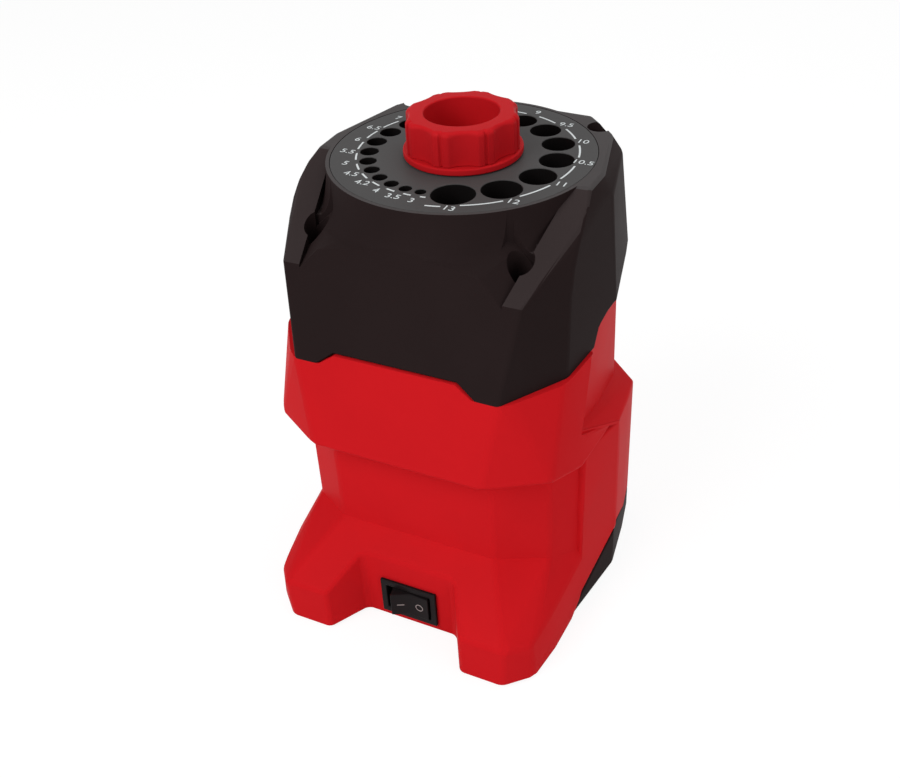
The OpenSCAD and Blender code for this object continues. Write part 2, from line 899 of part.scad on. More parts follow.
// A spider that carries a bearing, with the bearing's collar above it or below it
module bracket(z, collar_z) {
    arm_w = 8;
    collar_r = bearing_d / 2 + 3;
    arm_start = collar_r - 1.5;
    translate([0, 0, z])
        difference() {
            union() {
                translate([0, 0, collar_z]) cylinder(r = collar_r, h = bearing_w);
                for (a = [45:90:315])
                    rotate(a)
                        translate([arm_start, -arm_w / 2, 0])
                            cube([bolt_r + 3.4 - arm_start, arm_w, bracket_h]);
            }
            translate([0, 0, -20]) cylinder(d = bearing_d, h = 60);
            at_motor_bolts() translate([0, 0, -1]) cylinder(d = bolt_d, h = bracket_h + 2);
        }
}

module at_motor_bolts() {
    for (a = [45:90:315])
        rotate(a) translate([bolt_r, 0, 0]) children();
}

module upper_bracket() {
    color("#9a9a9a") bracket(upper_bracket_z, 0);
}

module lower_bracket() {
    color("#9a9a9a") bracket(lower_bracket_z, bracket_h - bearing_w);
}

module bearing(z) {
    translate([0, 0, z])
        difference() {
            cylinder(d = bearing_d, h = bearing_w);
            translate([0, 0, -1]) cylinder(d = shaft_d + 2 * fit, h = bearing_w + 2);
        }
}

module upper_bearing() {
    color(STEEL) bearing(upper_bracket_z);
}

module lower_bearing() {
    color(STEEL) bearing(lower_bracket_z + bracket_h - bearing_w);
}

module motor_bolts() {
    bolt_h = upper_bracket_z + bracket_h - lower_bracket_z;
    color(STEEL)
        at_motor_bolts()
            translate([0, 0, lower_bracket_z]) {
                cylinder(d = bolt_d, h = bolt_h);
                translate([0, 0, bolt_h]) cylinder(d = 7, h = 2.6);
                translate([0, 0, -3]) cylinder(d = 7.4, h = 3, $fn = 6);
            }
}

module stator_core() {
    color("#6f7277")
        translate([0, 0, stator_z])
            difference() {
                cylinder(d = stator_d, h = stator_h);
                translate([0, 0, -1]) cylinder(r = rotor_d / 2 + air_gap, h = stator_h + 2);
                at_motor_bolts() translate([0, 0, -1]) cylinder(d = bolt_d, h = stator_h + 2);
            }
}

module stator_windings() {
    color("#a8562a")
        for (z = [stator_z - coil_h, stator_top])
            translate([0, 0, z])
                difference() {
                    cylinder(d = stator_d - 18, h = coil_h);
                    translate([0, 0, -1]) cylinder(r = rotor_d / 2 + 3, h = coil_h + 2);
                }
}

module rotor_core() {
    color("#7d8086")
        translate([0, 0, stator_z - 2])
            difference() {
                cylinder(d = rotor_d, h = stator_h + 4);
                translate([0, 0, -1]) cylinder(d = shaft_d, h = stator_h + 6);
            }
}

module rotor_shaft() {
    color(STEEL)
        difference() {
            translate([0, 0, shaft_z]) cylinder(d = shaft_d, h = shaft_top - shaft_z);
            for (y = [drive_flat / 2, -drive_flat / 2 - 10])
                translate([-20, y, hub_z - 3]) cube([40, 10, 60]);
        }
}

module cooling_fan() {
    blade_t = 1.6;
    boss_r = shaft_d / 2 + 4;
    color("#2f3338")
        translate([0, 0, fan_z])
            difference() {
                union() {
                    cylinder(r = boss_r, h = fan_h);
                    cylinder(d = fan_d, h = blade_t);
                    for (i = [0:fan_blades - 1])
                        rotate(360 / fan_blades * i)
                            translate([boss_r - 1, -blade_t / 2, 0])
                                cube([fan_d / 2 - boss_r + 0.4, blade_t, fan_h]);
                }
                translate([0, 0, -1]) cylinder(d = shaft_d, h = fan_h + 2);
            }
}

// ---- Electrical pieces ----

capacitor_h = 17;

module run_capacitor() {
    color("#c9ccd0")
        translate([-30, 33.5, floor_z]) cube([26, body_back - wall - 34, capacitor_h]);
}

module capacitor_clip() {
    strap_t = 0.8;
    top = floor_z + capacitor_h;
    color(STEEL)
        translate([-20, 0, 0])
            rotate([90, 0, 90])
                linear_extrude(6)
                    polygon([
                        [28, floor_z], [33.5, floor_z], [33.5, top], [40, top], [40, top + strap_t],
                        [33.5 - strap_t, top + strap_t], [33.5 - strap_t, floor_z + strap_t],
                        [28, floor_z + strap_t]
                    ]);
}

module terminal_block() {
    color("ivory")
        translate([8, 33, floor_z])
            difference() {
                cube([20, 8, 8]);
                for (x = [3.2, 10, 16.8])
                    translate([x, 4, 3]) cylinder(d = 3.4, h = 10);
            }
}

module switch_room() {
    side = switch_w - 2.8;
    height = switch_h - 2.8;
    translate([-side / 2, -panel_front - 1, switch_z - height / 2])
        cube([side, 10, height]);
}

module switch_frame() {
    opening_w = switch_w - 4.6;
    opening_h = switch_h - 4.6;
    color(BLACK)
        difference() {
            union() {
                translate([-switch_w / 2, -panel_front - frame_t, switch_z - switch_h / 2])
                    cube([switch_w, frame_t, switch_h]);
                translate([1.5 - switch_w / 2, -panel_front, switch_z - switch_h / 2 + 1.5])
                    cube([switch_w - 3, 13, switch_h - 3]);
            }
            translate([-opening_w / 2, -panel_front - 4, switch_z - opening_h / 2])
                cube([opening_w, 13.4, opening_h]);
            // Holes of the rocker's pivot
            translate([0, rocker_y, switch_z - switch_h]) cylinder(d = pivot_d + 2 * fit, h = 2 * switch_h);
        }
}

// The rocker in its OFF position, with its left end standing proud
module switch_rocker() {
    half = switch_w / 2 - 3.9;
    rocker_h = switch_h - 5.4;
    pivot_h = rocker_h + 2;
    color(BLACK)
        translate([0, rocker_y, switch_z]) {
            translate([0, 0, -rocker_h / 2])
                rotate(rocker_tilt)
                    linear_extrude(rocker_h)
                        polygon([
                            [-half, 3], [-half, -7.5], [0, -5.8], [half, -7.5], [half, 3], [0, 4.5]
                        ]);
            translate([0, 0, -pivot_h / 2]) cylinder(d = pivot_d, h = pivot_h);
        }
}

// Distance of the rocker's axis from the spindle
rocker_y = 4 - panel_front;

module switch_terminals() {
    color("#c2a14d")
        for (x = [-5, 0, 5])
            translate([x - 0.4, 13 - panel_front, switch_z - 2.4]) cube([0.8, 7, 4.8]);
}

module cord_gland() {
    color(BLACK)
        translate([entry_x, body_back, entry_z])
            rotate([-90, 0, 0])
                difference() {
                    union() {
                        translate([0, 0, -10]) cylinder(d = entry_d + 6, h = 10);
                        cylinder(d = entry_d + 9, h = gland_rim);
                    }
                    translate([0, 0, -20]) cylinder(d = entry_d, h = 40);
                }
}

module placed() {
    translate([0, spindle_y, 0]) children();
}

placed() top_cover();
placed() guide_dial();
placed() wear_knob();
placed() knob_clip();
placed() lift_screw();
placed() lift_nut();
placed() lift_pins();
placed() stone_bearing();
placed() stone_hub();
placed() grinding_stone();
placed() stone_ring();
placed() grit_shield();
placed() front_housing();
placed() rear_cover();
placed() base_cover();
placed() rubber_feet();
placed() cover_screws();
placed() housing_screws();
placed() base_screws();
placed() upper_bracket();
placed() lower_bracket();
placed() motor_bolts();
placed() upper_bearing();
placed() lower_bearing();
placed() stator_core();
placed() stator_windings();
placed() rotor_core();
placed() rotor_shaft();
placed() cooling_fan();
placed() run_capacitor();
placed() capacitor_clip();
placed() terminal_block();
placed() switch_frame();
placed() switch_rocker();
placed() switch_terminals();
placed() cord_gland();
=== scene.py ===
"""Finished outside of a bench drill bit sharpener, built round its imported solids.

The sizes and colours that a user would change stand in the property groups. Each operator makes one
piece or one group of like pieces, and the panel lists them in the order in which main runs them.
"""

import math

import bmesh
import bpy
from mathutils import Matrix, Vector


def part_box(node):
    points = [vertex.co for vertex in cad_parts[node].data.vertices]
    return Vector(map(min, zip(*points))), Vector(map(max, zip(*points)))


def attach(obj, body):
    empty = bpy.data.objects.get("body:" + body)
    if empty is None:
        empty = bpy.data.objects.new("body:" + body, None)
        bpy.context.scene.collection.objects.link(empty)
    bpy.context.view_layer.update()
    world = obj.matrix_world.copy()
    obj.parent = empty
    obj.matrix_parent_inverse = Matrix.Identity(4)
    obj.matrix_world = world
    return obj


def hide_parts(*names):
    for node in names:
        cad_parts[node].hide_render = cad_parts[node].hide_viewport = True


bl_info = {
    "name": "Drill bit sharpener finish",
    "version": (1, 0, 0),
    "blender": (4, 5, 0),
    "location": "View3D > Sidebar > Sharpener",
    "description": "Makes the finished pieces, materials, lights and camera of a bench drill bit sharpener",
    "category": "Object",
}

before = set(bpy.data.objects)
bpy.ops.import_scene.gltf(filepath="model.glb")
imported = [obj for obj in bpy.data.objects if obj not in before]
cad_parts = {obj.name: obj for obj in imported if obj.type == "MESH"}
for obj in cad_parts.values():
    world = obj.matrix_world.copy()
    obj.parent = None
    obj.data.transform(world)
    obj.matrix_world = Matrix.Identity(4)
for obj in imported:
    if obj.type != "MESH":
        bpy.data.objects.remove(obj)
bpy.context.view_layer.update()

MM = 0.001
# The spindle stands this far behind the middle of the object
SPINDLE_Y = 11.8 * MM
DIAL_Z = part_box("guide_dial")[1].z

# ---- The dial's holes and print, in millimetres and degrees ----

SIZES = [3, 3.5, 4, 4.2, 4.5, 5, 5.5, 6, 6.5, 7, 7.5, 8, 8.5, 9, 9.5, 10, 10.5, 11, 12, 13]
HOLE_CIRCLE = 60.0
HOLE_PLAY = 0.5
HOLE_START = 0.3
# Distance of each printed number from the spindle, the numbers' height, and their width against the font's
LABEL_R = [36.0, 36.0, 36.0, 36.0, 36.6, 37.0, 37.0, 36.7, 37.2, 37.0,
           37.3, 37.6, 38.0, 38.4, 38.0, 38.2, 38.5, 38.9, 39.1, 39.1]
LABEL_HEIGHT = 2.6
LABEL_WIDTH = 1.12
# The lines between the numbers start at this distance, move out by the drift from hole to hole, and keep
# the gap from the larger holes. One facet of a line spans the step.
LINE_R = 33.2
LINE_DRIFT = 0.11
LINE_GAP = 0.9
LINE_WIDTH = 0.6
LINE_STEP = 1.5
# Distance, start and end of the dash beside the smallest size and of the line beside the largest
FIRST_DASH = (33.1, 5.7, 2.7)
LAST_LINE = (38.1, 15.2, 8.1)
# Half the thickness of the print, which sits half in and half out of the face
INK = 0.03

# ---- Where the rounded edges lie, in millimetres from the spindle's foot ----

# Faces that meet at less than this are parts of one curved surface
CORNER = math.radians(14)
# Edges of the cover's skirt lie above its joint with the housing and outside the dial's seat
COVER_SHORTEST = 3.9
COVER_JOINT_Z = 106
DIAL_SEAT_R = 43
# The thin walls beside the front screw wells stay sharp
WELL_X = 38.5
WELL_Y = -20
WELL_Z = 120
# Edges of the housing's outside lie beyond the inner faces of its walls, between its feet and the cover
HOUSING_SHORTEST = 4.9
HOUSING_BLUNTEST = math.radians(110)
INNER_WALL_R = 44
HOUSING_FOOT_Z = 4
HOUSING_TOP_Z = 101
# The plane in which the two halves meet gets a narrow break instead
SEAM_SHORTEST = 2
SEAM_CORNER = math.radians(40)
SEAM_FOOT_Z = 5
SEAM_Y = 0.8
SEAM_X = 40
OUTSIDE_SEAM_Y = 1.6
# Short arcs at the ends of the ledge over the switch are rounded with it
LEDGE_X = 18.6
LEDGE_Y = -58
LEDGE_Z = 27
# The switch opening stays as cut, because the switch's frame covers it
OPENING_X = 12
OPENING_Y = -50
OPENING_Z = 20
# The dial's top edges lie this near its face and outside the knob's bearing, and are rounded by this share
# of a small edge
DIAL_NEAR = 0.1
DIAL_CORNER = math.radians(60)
BEARING_R = 18
DIAL_SHARE = 0.7
# Every corner of the switch's frame and rocker is rounded
SWITCH_CORNER = math.radians(40)
# The cover's land looks up from just under the dial's face, and its strips slope down on both sides of it.
# These upward faces are painted lighter and greyer, as light from above shows them
UPWARD = 0.6
LEVEL = 0.95
LAND_DEPTH = 1.2
STRIP_DEPTH = 32
STRIP_X = 36
# Edges that turn less than this shade softly
SMOOTH = math.radians(35)
# Facets of a rounded corner of the knob
CORNER_STEPS = 6

# ---- Marks on the rocker, in millimetres ----

BAR = (2.6, 0.3, 0.06)
RING_R = 1.35
RING_LINE_R = 0.17

# ---- Stage ----

# The point that the lamps face, and each lamp's name, place, width and power, in metres and watts
LAMP_TARGET = (0, 0, 0.09)
LAMPS = (
    ("key", (-0.45, -0.9, 0.95), 0.8, 10.2),
    ("fill", (0.95, -0.45, 0.5), 0.8, 3.3),
    ("top", (0.15, 0.3, 1.2), 0.7, 4.0),
)
# Strength of the light from all round, and of the floor's white as the camera sees it, with its share against
# the floor's own paint, which keeps the shadow
DAYLIGHT = 0.3
FLOOR_GLOW = 1.1
FLOOR_GLOW_SHARE = 0.8
# The camera's place from the spindle's foot, how it is turned in degrees, and its lens, in millimetres
CAMERA_PLACE = (144.244, -291.722, 298.268)
CAMERA_RIGHT = 27.862
CAMERA_DOWN = 35.713
CAMERA_ROLL = -3.548
CAMERA_LENS = 44.36
CAMERA_SENSOR = 36.0

# ---- Patterns ----

# A noise pattern seldom leaves this range
NOISE_LOW = 0.3
NOISE_HIGH = 0.7
# Sockets of a Mix node that mixes colours
MIX_SHARE = 0
MIX_FIRST = 6
MIX_SECOND = 7
MIX_COLOUR = 2


# ---- Colours and materials ----

def linear(code):
    """Turns an sRGB hex colour into the linear one that a shader takes."""
    channels = [int(code[i:i + 2], 16) / 255 for i in (1, 3, 5)]
    return [c / 12.92 if c <= 0.04045 else ((c + 0.055) / 1.055) ** 2.4 for c in channels] + [1.0]


def add(material, kind, settings=None, links=None):
    """Adds a node, sets its properties and sockets, and links its inputs."""
    node = material.node_tree.nodes.new(kind)
    for key, value in (settings or {}).items():
        if isinstance(key, int) or key in node.inputs:
            node.inputs[key].default_value = value
        else:
            setattr(node, key, value)
    for key, socket in (links or {}).items():
        material.node_tree.links.new(socket, node.inputs[key])
    return node


def blank(name):
    """A material with its output and its object coordinates, and nothing else."""
    material = bpy.data.materials.new(name)
    material.use_nodes = True
    material.node_tree.nodes.clear()
    output = add(material, "ShaderNodeOutputMaterial")
    place = add(material, "ShaderNodeTexCoord").outputs["Object"]
    return material, output, place


def close(material, output, settings, links):
    """Ends a material with its main shader."""
    shader = add(material, "ShaderNodeBsdfPrincipled", settings, links)
    material.node_tree.links.new(shader.outputs["BSDF"], output.inputs["Surface"])
    return material


def plain_sight(owner):
    """Is 1 for rays from the camera and for those that metal or glass sends on, and 0 for all others."""
    ways = add(owner, "ShaderNodeLightPath")
    seen = add(owner, "ShaderNodeMath", {"operation": "MAXIMUM"},
               {0: ways.outputs["Is Camera Ray"], 1: ways.outputs["Is Glossy Ray"]})
    return add(owner, "ShaderNodeMath", {"operation": "MAXIMUM"},
               {0: seen.outputs[0], 1: ways.outputs["Is Transmission Ray"]}).outputs[0]


def mottled(material, place, colour, change, size):
    """A colour that drifts a little, lighter and darker, over patches of one size."""
    patches = add(material, "ShaderNodeTexNoise", {"Scale": 1 / size, "Detail": 3.0}, {"Vector": place})
    ramp = add(material, "ShaderNodeValToRGB", {}, {"Fac": patches.outputs["Fac"]})
    base = linear(colour)
    for stop, share, at in ((0, 1 - change, NOISE_LOW), (1, 1 + change, NOISE_HIGH)):
        ramp.color_ramp.elements[stop].position = at
        ramp.color_ramp.elements[stop].color = [min(c * share, 1) for c in base[:3]] + [1.0]
    return ramp.outputs["Color"], patches.outputs["Fac"]


def spread(material, value, low, high):
    """A roughness that follows a pattern between two limits."""
    return add(material, "ShaderNodeMapRange",
               {"From Min": NOISE_LOW, "From Max": NOISE_HIGH, "To Min": low, "To Max": high},
               {"Value": value}).outputs["Result"]


def wave_scale(pitch):
    """Scale at which the lines of a Wave texture lie one pitch apart."""
    return math.pi / 10 / pitch


def moulded(name, colour, rough, grain, depth, change=0.05, ior=1.54, shine=0.5):
    """A thermoplastic moulded in an etched tool: the fine even grain of its skin blurs what it reflects.

    A shine below 0.5 stands for the share of the reflection that the pits of the skin hold back. A real
    etch is about 0.1 mm fine, and the grain is drawn coarser, so that it shows.
    """
    material, output, place = blank(name)
    tint, patches = mottled(material, place, colour, change, 30 * MM)
    texture = add(material, "ShaderNodeTexNoise", {"Scale": 1 / grain, "Detail": 2.0, "Roughness": 0.6},
                  {"Vector": place})
    skin = add(material, "ShaderNodeBump", {"Strength": 0.6, "Distance": depth},
               {"Height": texture.outputs["Fac"]})
    return close(material, output, {"IOR": ior, "Specular IOR Level": shine}, {
        "Base Color": tint, "Roughness": spread(material, patches, rough - 0.03, rough + 0.03),
        "Normal": skin.outputs["Normal"]})


def turned(name, colour, rough, pitch, depth):
    """Metal cut on a lathe: rings one feed apart round the spindle catch the light as a soft fan."""
    material, output, place = blank(name)
    centred = add(material, "ShaderNodeMapping", {"Location": (0, -SPINDLE_Y, 0)}, {"Vector": place})
    rings = add(material, "ShaderNodeTexWave",
                {"wave_type": "RINGS", "rings_direction": "Z", "Scale": wave_scale(pitch), "Distortion": 0.6,
                 "Detail": 2.0}, {"Vector": centred.outputs["Vector"]})
    cut = add(material, "ShaderNodeBump", {"Strength": 0.3, "Distance": depth},
              {"Height": rings.outputs["Fac"]})
    tint, patches = mottled(material, place, colour, 0.06, 12 * MM)
    return close(material, output, {"Metallic": 1.0}, {
        "Base Color": tint, "Roughness": spread(material, patches, rough - 0.05, rough + 0.07),
        "Normal": cut.outputs["Normal"]})


def plated(name, colour, rough):
    """A bright metal skin, thin and even, with a faint cloudiness."""
    material, output, place = blank(name)
    tint, patches = mottled(material, place, colour, 0.08, 4 * MM)
    return close(material, output, {"Metallic": 1.0}, {
        "Base Color": tint, "Roughness": spread(material, patches, rough - 0.06, rough + 0.08)})


def cast(name, colour, rough, grain, depth):
    """Die-cast alloy, as cast: a dull skin with a slight orange peel."""
    material, output, place = blank(name)
    tint, patches = mottled(material, place, colour, 0.1, 8 * MM)
    peel = add(material, "ShaderNodeTexNoise", {"Scale": 1 / grain, "Detail": 4.0}, {"Vector": place})
    skin = add(material, "ShaderNodeBump", {"Strength": 0.5, "Distance": depth},
               {"Height": peel.outputs["Fac"]})
    return close(material, output, {"Metallic": 1.0}, {
        "Base Color": tint, "Roughness": spread(material, patches, rough - 0.06, rough + 0.06),
        "Normal": skin.outputs["Normal"]})


def abrasive(name, colour, grain_colour, pore_colour, grit):
    """Vitrified aluminium oxide: packed grains with dark pores between them, and a few bright facets."""
    material, output, place = blank(name)
    grains = add(material, "ShaderNodeTexVoronoi", {"Scale": 1 / grit}, {"Vector": place})
    ramp = add(material, "ShaderNodeValToRGB", {}, {"Fac": grains.outputs["Distance"]})
    ramp.color_ramp.elements[0].color = linear(grain_colour)
    ramp.color_ramp.elements[1].color = linear(pore_colour)
    ramp.color_ramp.elements[1].position = 0.8
    mixed = add(material, "ShaderNodeMix", {"data_type": "RGBA", MIX_SHARE: 0.55},
                {MIX_FIRST: ramp.outputs["Color"],
                 MIX_SECOND: mottled(material, place, colour, 0.15, 5 * MM)[0]})
    relief = add(material, "ShaderNodeBump", {"Strength": 0.8, "Distance": grit / 3, "invert": True},
                 {"Height": grains.outputs["Distance"]})
    return close(material, output, {"Roughness": 0.85, "IOR": 1.7},
                 {"Base Color": mixed.outputs[MIX_COLOUR], "Normal": relief.outputs["Normal"]})


def layered(name, colour, rough, pitch, direction):
    """Stacked sheets or laid wire: fine even lines one pitch apart."""
    material, output, place = blank(name)
    lines = add(material, "ShaderNodeTexWave",
                {"wave_type": "BANDS", "bands_direction": direction, "Scale": wave_scale(pitch)},
                {"Vector": place})
    grooves = add(material, "ShaderNodeBump", {"Strength": 0.7, "Distance": pitch / 6},
                  {"Height": lines.outputs["Fac"]})
    tint, patches = mottled(material, place, colour, 0.12, 6 * MM)
    return close(material, output, {"Metallic": 1.0}, {
        "Base Color": tint, "Roughness": spread(material, patches, rough - 0.05, rough + 0.08),
        "Normal": grooves.outputs["Normal"]})


class Finishes(bpy.types.PropertyGroup):
    """Colours of the finishes that show outside."""
    housing: bpy.props.StringProperty(
        name="Housing", description="Colour of the two housing halves", default="#cb1a20")
    cover: bpy.props.StringProperty(
        name="Cover", description="Colour of the top cover and the base", default="#271e1e")
    dial: bpy.props.StringProperty(
        name="Dial", description="Colour of the guide dial", default="#434242")
    knob: bpy.props.StringProperty(
        name="Knob", description="Colour of the wear knob", default="#bd1a20")
    print: bpy.props.StringProperty(
        name="Print", description="Colour of the printed numbers", default="#d3d9da")
    rough: bpy.props.FloatProperty(
        name="Roughness", description="Roughness of the moulded plastic",
        default=0.46, min=0.1, max=0.9, subtype="FACTOR")


class Edges(bpy.types.PropertyGroup):
    """Radii of the rounded edges."""
    housing: bpy.props.FloatProperty(
        name="Housing edges", description="Radius of the front housing's outer edges",
        default=1.6 * MM, unit="LENGTH")
    cover: bpy.props.FloatProperty(
        name="Cover edges", description="Radius of the outer edges of the cover, the rear cover and the base",
        default=1.0 * MM, unit="LENGTH")
    seam: bpy.props.FloatProperty(
        name="Seam edges", description="Width of the break along the housing's seam",
        default=0.3 * MM, unit="LENGTH")
    small: bpy.props.FloatProperty(
        name="Small edges", description="Radius of the edges of small pieces",
        default=0.35 * MM, unit="LENGTH")


class Knob(bpy.types.PropertyGroup):
    """Sizes of the wear knob."""
    gap: bpy.props.FloatProperty(
        name="Gap", description="Gap between the dial and the flange", default=0.3 * MM, unit="LENGTH")
    flange: bpy.props.FloatProperty(
        name="Flange", description="Thickness of the flange", default=2.1 * MM, unit="LENGTH")
    grip: bpy.props.FloatProperty(
        name="Grip", description="Radius of the grip", default=18.05 * MM, unit="LENGTH")
    cup: bpy.props.FloatProperty(
        name="Cup", description="Radius of the cup", default=11.8 * MM, unit="LENGTH")
    depth: bpy.props.FloatProperty(
        name="Cup depth", description="Depth of the cup", default=12.5 * MM, unit="LENGTH")
    hollows: bpy.props.IntProperty(
        name="Hollows", description="Number of finger hollows", default=8, min=3)
    start: bpy.props.FloatProperty(
        name="Start", description="Angle of the first hollow", default=math.radians(-63.6), subtype="ANGLE")
    hollow_radius: bpy.props.FloatProperty(
        name="Hollow radius", description="Radius that the hollows are cut with",
        default=10 * MM, unit="LENGTH")
    hollow_depth: bpy.props.FloatProperty(
        name="Hollow depth", description="Depth of a finger hollow", default=1.6 * MM, unit="LENGTH")
    groove: bpy.props.FloatProperty(
        name="Groove", description="Radius of the thin grooves between the hollows",
        default=0.6 * MM, unit="LENGTH")
    ridge: bpy.props.FloatProperty(
        name="Ridge", description="Softness of the ridges", default=0.4 * MM, unit="LENGTH")
    edge: bpy.props.FloatProperty(
        name="Top edge", description="Radius of the grip's top edge", default=1.7 * MM, unit="LENGTH")
    fade: bpy.props.FloatProperty(
        name="Fade", description="Share of their depth that the hollows lose over the top edge",
        default=0.45, min=0, max=1, subtype="FACTOR")
    lip: bpy.props.FloatProperty(
        name="Lip", description="Radius of the flange's and the cup's edges", default=0.5 * MM, unit="LENGTH")
    seam: bpy.props.FloatProperty(
        name="Seam", description="Width of the groove between grip and flange",
        default=0.35 * MM, unit="LENGTH")
    segments: bpy.props.IntProperty(
        name="Segments", description="Facets round the grip", default=480, min=96)


def finishes():
    """Makes every material once and returns them by the name of the piece's finish."""
    made = bpy.context.scene.get("sharpener_finishes")
    if made:
        return {key: bpy.data.materials[name] for key, name in made.items()}
    look = bpy.context.scene.sharpener_looks
    table = {
        # ABS from an etched tool: an even satin that keeps its colour and shows hardly a highlight
        "housing": moulded("ABS, moulded, signal red", look.housing, look.rough,
                           grain=0.5 * MM, depth=0.01 * MM, change=0.03, shine=0.01),
        "cover": moulded("ABS, moulded, warm black", look.cover, look.rough + 0.02,
                         grain=0.5 * MM, depth=0.02 * MM, change=0.06, shine=0.008),
        # The etch is coarser on the cover's top and on the strips that run down from it. Their lighter,
        # greyer colours are painted light from above on the same warm black plastic
        "land": moulded("ABS, moulded, coarse etch, painted top light, dark grey", "#3f3b3b", 0.58,
                        grain=0.4 * MM, depth=0.02 * MM, change=0.06, shine=0.1),
        "strip": moulded("ABS, moulded, coarse etch, painted top light, warm grey", "#352d2d", 0.55,
                         grain=0.4 * MM, depth=0.02 * MM, change=0.06, shine=0.02),
        # ABS from a smoother tool: a livelier red on the edges of the hollows
        "knob": moulded("ABS, moulded, bright red", look.knob, 0.42,
                        grain=0.6 * MM, depth=0.01 * MM, change=0.03, shine=0.02),
        # Glass-filled nylon: dull, with a hint of fibre
        "dial": moulded("Glass-filled nylon, moulded, dark grey", look.dial, 0.55,
                        grain=0.4 * MM, depth=0.015 * MM, change=0.06, ior=1.53, shine=0.1),
        # Painted shade: the same nylon everywhere below the dial's face, bores included, is coloured near
        # black as the shade inside the holes
        "bore": moulded("Glass-filled nylon, painted shade, black", "#131111", 0.6,
                        grain=0.4 * MM, depth=0.015 * MM, change=0.06, ior=1.53, shine=0.03),
        # Pad-printed ink: flat and a little chalky, and thinner on the rocker, where the black dulls it
        "print": moulded("Pad-printed ink, pale grey", look.print, 0.6,
                         grain=0.3 * MM, depth=0.004 * MM, ior=1.5),
        "mark": moulded("Pad-printed ink, warm grey", "#a89c9a", 0.6,
                        grain=0.3 * MM, depth=0.004 * MM, ior=1.5, shine=0.1),
        # Rubber: the dullest of the blacks, uneven to the eye
        "rubber": moulded("Nitrile rubber, moulded, black", "#191818", 0.8,
                          grain=0.8 * MM, depth=0.03 * MM, change=0.1, ior=1.52),
        # Polypropylene: waxy and even
        "fan": moulded("Polypropylene, moulded, charcoal", "#2b2e32", 0.5,
                       grain=0.7 * MM, depth=0.01 * MM, ior=1.49),
        "case": moulded("Polypropylene film case, moulded, light grey", "#c8cacc", 0.4,
                        grain=0.8 * MM, depth=0.01 * MM, change=0.04, ior=1.49),
        # Polyamide: a fine skin with a faint sheen, creamy where it is left in its own colour
        "ivory": moulded("Polyamide, moulded, ivory", "#e2dac2", 0.45,
                         grain=0.7 * MM, depth=0.01 * MM, ior=1.53),
        "switch": moulded("Polyamide, moulded, black", "#1b1617", 0.42,
                          grain=0.8 * MM, depth=0.006 * MM, ior=1.53, shine=0.05),
        # Turned metal: fine rings spread a highlight into a fan, drawn coarser than the real 0.1 mm feed
        "steel": turned("Carbon steel, turned, bright", "#b9bcc0", 0.3, pitch=0.5 * MM, depth=0.006 * MM),
        "brass": turned("Brass, turned", "#b9954e", 0.28, pitch=0.6 * MM, depth=0.006 * MM),
        # Zinc plating on screws and clips, and stamped brass: bright, smooth and slightly cloudy
        "screw": plated("Zinc-plated steel, cold headed", "#a9adb2", 0.32),
        "contact": plated("Brass, stamped", "#bfa052", 0.3),
        # Die-cast aluminium: dull grey with a slight orange peel
        "bracket": cast("Aluminium, die cast", "#9b9c9e", 0.5, grain=1.2 * MM, depth=0.04 * MM),
        # Stacked sheet: even dark lines, drawn coarser than the real 0.5 mm sheets so that they show
        "iron": layered("Silicon steel sheet, stacked", "#6b6e73", 0.45, pitch=2.0 * MM, direction="Z"),
        # Wound wire: laid turns with the warm shine of varnish, drawn coarser than the real 0.4 mm wire
        "copper": layered("Enamelled copper wire, wound", "#a5532a", 0.35, pitch=1.6 * MM,
                          direction="DIAGONAL"),
        # Bonded abrasive: brown grains and dark pores, without any shine
        "stone": abrasive("Aluminium oxide, vitrified, brown", "#8d5a4a", "#b98672", "#4d2e26",
                          grit=0.6 * MM),
    }
    bpy.context.scene["sharpener_finishes"] = {key: material.name for key, material in table.items()}
    return table


# ---- Mesh helpers ----

def verts_of(items):
    """The vertices among the items that an operator returns."""
    return [item for item in items if isinstance(item, bmesh.types.BMVert)]


def edges_of(items):
    """The edges among the items that an operator returns."""
    return [item for item in items if isinstance(item, bmesh.types.BMEdge)]


def open_edges(shell):
    """The edges at which a shell is open."""
    return [edge for edge in shell.edges if edge.is_boundary]


def merged_copy(node):
    """A closed copy of a solid's mesh, with its flat faces whole again."""
    shell = bmesh.new()
    shell.from_mesh(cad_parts[node].data)
    bmesh.ops.remove_doubles(shell, verts=shell.verts, dist=0.002 * MM)
    bmesh.ops.dissolve_limit(shell, angle_limit=math.radians(0.6), verts=shell.verts, edges=shell.edges,
                             use_dissolve_boundaries=False, delimit={"NORMAL"})
    return shell


def round_edges(shell, radius, chosen, segments=3):
    """Rounds the edges that the test picks."""
    sharp = [edge for edge in shell.edges if len(edge.link_faces) == 2 and chosen(edge)]
    bmesh.ops.bevel(shell, geom=sharp, offset=radius, offset_type="OFFSET", affect="EDGES", segments=segments,
                    profile=0.5, material=-1, clamp_overlap=False, miter_outer="SHARP", miter_inner="SHARP")


def midpoint(edge):
    """Middle of an edge, in millimetres from the spindle's foot."""
    middle = (edge.verts[0].co + edge.verts[1].co) / 2
    return Vector((middle.x, middle.y - SPINDLE_Y, middle.z)) / MM


def on_cover_skirt(edge):
    """Is true for an outer edge of the top cover that is rounded."""
    place = midpoint(edge)
    beside_well = abs(place.x) < WELL_X and place.y < WELL_Y and place.z > WELL_Z
    return (edge.calc_length() > COVER_SHORTEST * MM and edge.calc_face_angle_signed(0) > CORNER
            and place.z > COVER_JOINT_Z and place.xy.length > DIAL_SEAT_R and not beside_well)


